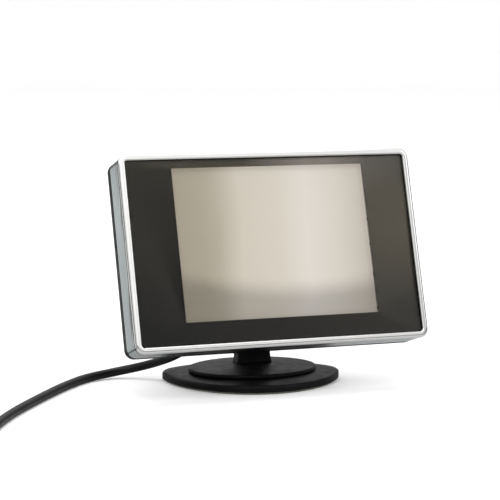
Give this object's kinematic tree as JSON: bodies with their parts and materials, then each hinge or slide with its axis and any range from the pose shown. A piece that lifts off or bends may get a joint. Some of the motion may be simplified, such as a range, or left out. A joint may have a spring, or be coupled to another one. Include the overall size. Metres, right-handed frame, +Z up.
{
  "type": "dashboard reversing monitor",
  "caption": "Small flat reversing-camera monitor with a glossy window and bright rim, tilting on a short neck over a swivelling adhesive stand, with its thin coiled lead and plug.",
  "frame": {"origin": "on the stand's swivel axis, at the underside of the foam pad", "axes": "+X to the right of someone looking at the screen, +Y away from them, +Z up; the screen faces -Y and leans back"},
  "size_m": [0.2161, 0.0989, 0.0822],
  "materials": {
    "chrome_rim": "bright plated plastic, polished",
    "silver_band": "satin metallic paint, blue-grey",
    "clear_window": "clear smoked acrylic window, polished",
    "black_mask": "black printed mask",
    "black_abs": "moulded ABS, fine spark grain",
    "foam_rubber": "closed-cell foam pad, olive grey",
    "zinc_steel": "zinc plated",
    "black_steel": "black oxide",
    "tin_plate": "pressed tin plate",
    "panel_glass": "glass with polariser film, warm grey",
    "white_film": "white reflective film",
    "clear_acrylic": "moulded clear acrylic",
    "amber_film": "amber polyimide film",
    "green_laminate": "green solder mask on glass laminate",
    "nylon": "natural nylon",
    "nylon_black": "black nylon",
    "chip_resin": "black moulding resin",
    "can_aluminium": "drawn aluminium can",
    "ferrite": "dark grey ferrite",
    "wire_pvc": "thin PVC insulated wires",
    "lead_rubber": "black PVC, slightly glossy",
    "tie_wire": "paper-covered twist tie, black",
    "nickel_steel": "nickel plated shell",
    "pin_brass": "plated brass pins"
  },
  "bodies": {
    "base": {"foam_pad": "foam_rubber", "base_plate": "black_abs", "swivel_washer": "zinc_steel", "cable_floor": "lead_rubber", "cable_coil": "lead_rubber", "coil_tie": "tie_wire", "cable_tail": "lead_rubber", "plug_boot": "lead_rubber", "plug_grip": "lead_rubber", "plug_shell": "nickel_steel", "plug_insert": "nylon_black", "plug_pins": "pin_brass"},
    "stand": {"turntable": "black_abs", "swivel_screw": "zinc_steel", "neck_post": "black_abs", "hinge_bolt": "zinc_steel", "hinge_washers": "nylon"},
    "knob": {"thumb_knob": "black_abs", "knob_insert": "zinc_steel"},
    "head": {"bezel_rim": "chrome_rim", "board_capacitors": "can_aluminium", "board_chips": "chip_resin", "board_choke": "ferrite", "board_screws": "zinc_steel", "cable_grommet": "lead_rubber", "cable_upper": "lead_rubber", "cover_screws": "black_steel", "diffuser_sheet": "white_film", "inner_wires": "wire_pvc", "key_switches": "tin_plate", "lcd_frame": "tin_plate", "lcd_glass": "panel_glass", "lcd_ribbon": "amber_film", "lead_socket": "nylon", "light_guide": "clear_acrylic", "lock_screws": "zinc_steel", "main_board": "green_laminate", "middle_frame": "black_abs", "rear_cover": "black_abs", "reflector_tray": "white_film", "ribbon_socket": "nylon", "side_band": "silver_band", "slide_rails": "black_abs", "tilt_bracket": "black_abs", "window_lens": "clear_window", "window_mask": "black_mask"},
    "power_key": {"power_key": "black_abs"},
    "menu_key": {"menu_key": "black_abs"},
    "up_key": {"up_key": "black_abs"},
    "down_key": {"down_key": "black_abs"}
  },
  "joints": [
    {"name": "swivel", "type": "hinge", "parent": "base", "child": "stand", "pos_m": [0, 0, 0.0046], "axis": [0, 0, 1], "range_deg": [-60, 30], "deforming": ["cable_upper"]},
    {"name": "tilt", "type": "hinge", "parent": "stand", "child": "head", "pos_m": [0, 0.00514, 0.03465], "axis": [-1, 0, 0], "range_deg": [-17, 28], "deforming": ["cable_upper"]},
    {"name": "knob_turn", "type": "hinge", "parent": "stand", "child": "knob", "pos_m": [0.0102, 0.00514, 0.03465], "axis": [1, 0, 0], "range_deg": [0, 270]},
    {"name": "power_key_press", "type": "slide", "parent": "head", "child": "power_key", "axis": [0, -0.957, 0.29], "range_m": [0, 0.0005], "stiffness_N_per_m": 400, "springref_m": -0.0008},
    {"name": "menu_key_press", "type": "slide", "parent": "head", "child": "menu_key", "axis": [0, -0.957, 0.29], "range_m": [0, 0.0005], "stiffness_N_per_m": 400, "springref_m": -0.0008},
    {"name": "up_key_press", "type": "slide", "parent": "head", "child": "up_key", "axis": [0, -0.957, 0.29], "range_m": [0, 0.0005], "stiffness_N_per_m": 400, "springref_m": -0.0008},
    {"name": "down_key_press", "type": "slide", "parent": "head", "child": "down_key", "axis": [0, -0.957, 0.29], "range_m": [0, 0.0005], "stiffness_N_per_m": 400, "springref_m": -0.0008}
  ]
}
